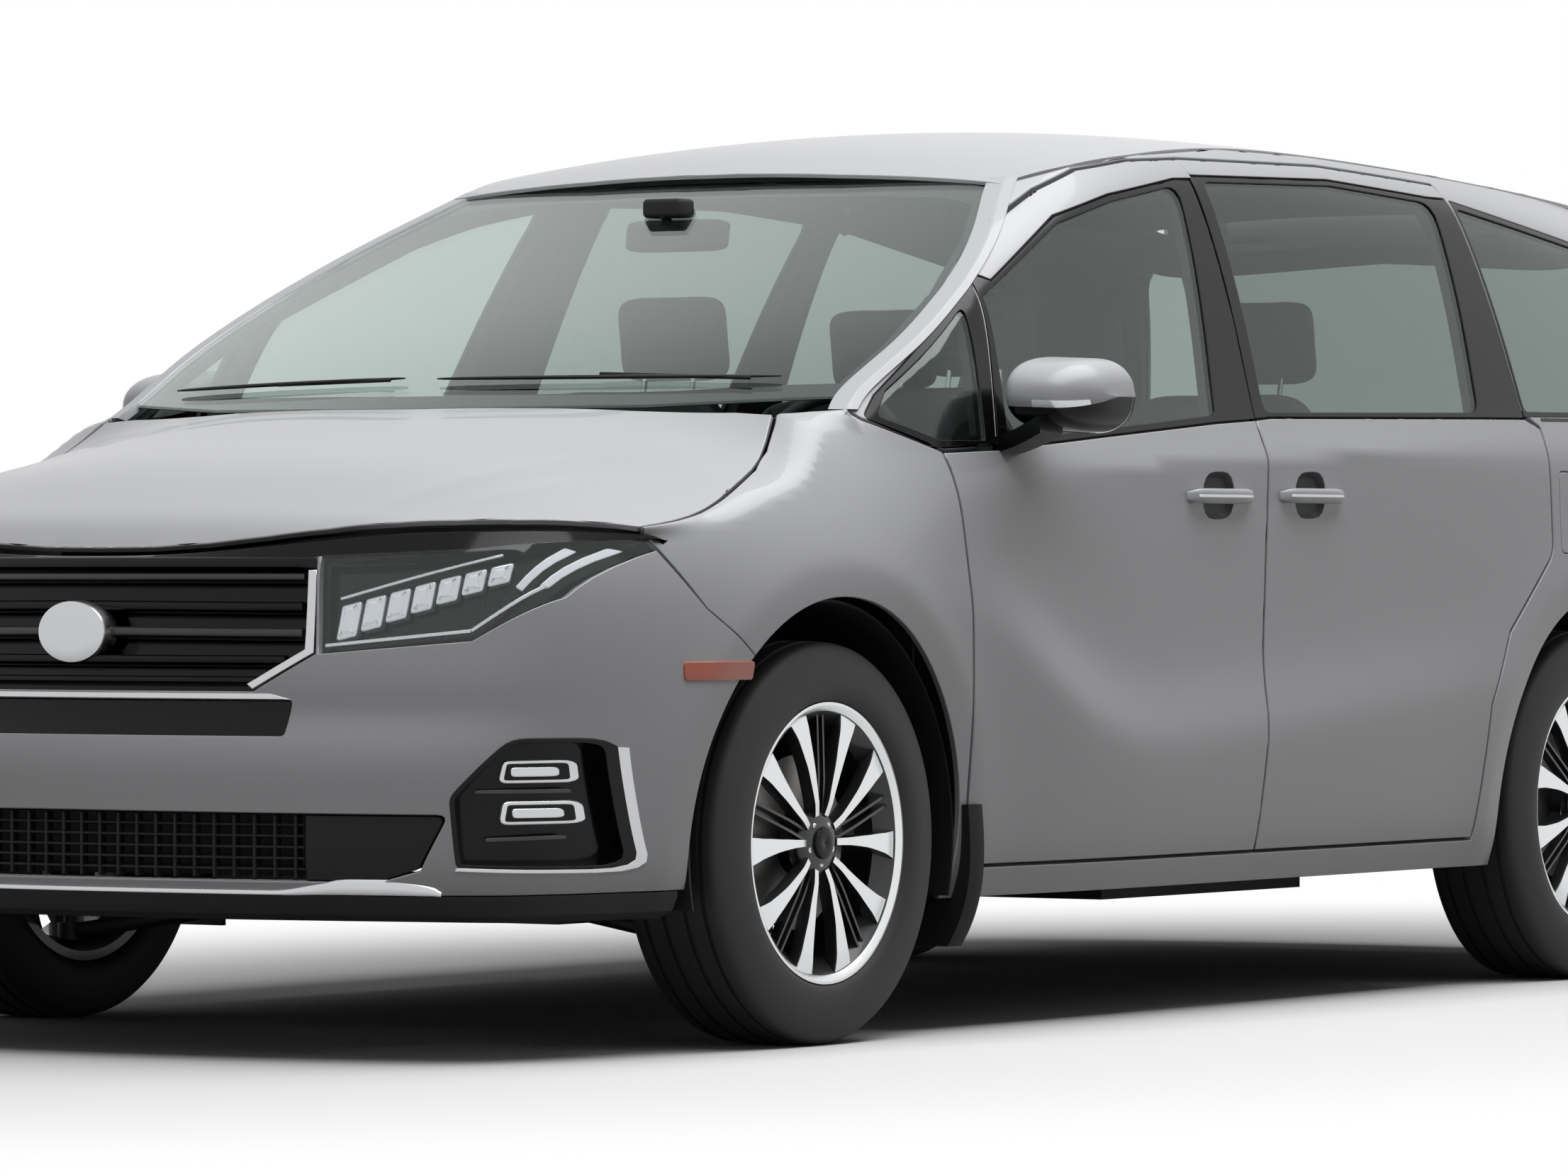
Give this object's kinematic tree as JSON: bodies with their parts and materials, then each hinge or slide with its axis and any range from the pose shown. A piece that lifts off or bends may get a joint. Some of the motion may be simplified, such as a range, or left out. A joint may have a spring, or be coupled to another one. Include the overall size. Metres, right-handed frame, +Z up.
{
  "type": "minivan",
  "caption": "Minivan with hinged front doors, sliding rear doors, raked windshield, horizontal-bar grille and split-spoke alloy wheels.",
  "frame": {"origin": "on the ground, midway between the bumper tips and on the centre plane", "axes": "-Y forward, +X to the vehicle's left, +Z up"},
  "size_m": [2.3096, 5.2131, 1.7774],
  "materials": {
    "alloy": "machined face, dark pockets",
    "cast_metal": "as cast",
    "dark_trim": "grained and gloss black",
    "floor_metal": "underbody coating",
    "glass": "tinted",
    "lamp_glass": "clear",
    "paint": "metallic silver clear coat",
    "red_lamp": "clear red",
    "seat_cover": "dark grey",
    "steel": "dull",
    "tyre": "satin black"
  },
  "bodies": {
    "body": {"body_side_left": "paint", "body_side_right": "paint", "corner_posts": "paint", "cowl": "dark_trim", "dashboard": "dark_trim", "engine": "cast_metal", "exhaust": "steel", "fenders": "paint", "fog_lamps": "dark_trim", "front_bumper": "paint", "front_seats": "seat_cover", "front_subframe": "cast_metal", "fuel_tank": "dark_trim", "grille": "dark_trim", "headlamps": "lamp_glass", "lower_grille": "dark_trim", "rear_axle": "cast_metal", "rear_bumper": "paint", "rear_seats": "seat_cover", "roof": "paint", "side_glass": "glass", "sliding_door_left": "paint", "sliding_door_right": "paint", "steering_wheel": "dark_trim", "tail_lamps": "red_lamp", "underbody": "floor_metal", "wheel_liners": "dark_trim", "windshield": "glass"},
    "front_door_left": {"front_door_left": "paint", "front_door_glass_left": "glass", "mirror_left": "paint"},
    "front_door_right": {"front_door_right": "paint", "front_door_glass_right": "glass", "mirror_right": "paint"},
    "hood": {"hood": "paint"},
    "tailgate": {"tailgate": "paint", "tailgate_glass": "glass"},
    "knuckle_left": {"knuckle_left": "cast_metal"},
    "knuckle_right": {"knuckle_right": "cast_metal"},
    "wheel_front_left": {"tyre_front_left": "tyre", "rim_front_left": "alloy"},
    "wheel_front_right": {"tyre_front_right": "tyre", "rim_front_right": "alloy"},
    "wheel_rear_left": {"tyre_rear_left": "tyre", "rim_rear_left": "alloy"},
    "wheel_rear_right": {"tyre_rear_right": "tyre", "rim_rear_right": "alloy"}
  },
  "joints": [
    {"name": "front_door_left_hinge", "type": "hinge", "parent": "body", "child": "front_door_left", "pos_m": [0.98396, -1.049, 0.67], "axis": [0, 0, -1], "range_deg": [0, 68]},
    {"name": "front_door_right_hinge", "type": "hinge", "parent": "body", "child": "front_door_right", "pos_m": [-0.98396, -1.049, 0.67], "axis": [0, 0, 1], "range_deg": [0, 68]},
    {"name": "hood_hinge", "type": "hinge", "parent": "body", "child": "hood", "pos_m": [0, -1.433, 1.112], "axis": [-1, 0, 0], "range_deg": [0, 50]},
    {"name": "tailgate_hinge", "type": "hinge", "parent": "body", "child": "tailgate", "pos_m": [0, 2.196, 1.672], "axis": [1, 0, 0], "range_deg": [0, 85]},
    {"name": "steering_left", "type": "hinge", "parent": "body", "child": "knuckle_left", "pos_m": [0.795, -1.561, 0.196], "axis": [-0.2004, 0.0315, 0.9792], "range_deg": [-35, 35]},
    {"name": "steering_right", "type": "hinge", "parent": "body", "child": "knuckle_right", "pos_m": [-0.795, -1.561, 0.196], "axis": [0.2004, 0.0315, 0.9792], "range_deg": [-35, 35]},
    {"name": "wheel_front_left_spin", "type": "hinge", "parent": "knuckle_left", "child": "wheel_front_left", "pos_m": [0.855, -1.561, 0.37], "axis": [1, 0, 0], "continuous": true},
    {"name": "wheel_front_right_spin", "type": "hinge", "parent": "knuckle_right", "child": "wheel_front_right", "pos_m": [-0.855, -1.561, 0.37], "axis": [1, 0, 0], "continuous": true},
    {"name": "wheel_rear_left_spin", "type": "hinge", "parent": "body", "child": "wheel_rear_left", "pos_m": [0.855, 1.439, 0.37], "axis": [1, 0, 0], "continuous": true},
    {"name": "wheel_rear_right_spin", "type": "hinge", "parent": "body", "child": "wheel_rear_right", "pos_m": [-0.855, 1.439, 0.37], "axis": [1, 0, 0], "continuous": true}
  ],
  "couplings": [
    {"joint": "steering_right", "follows": "steering_left", "ratio": 1}
  ]
}
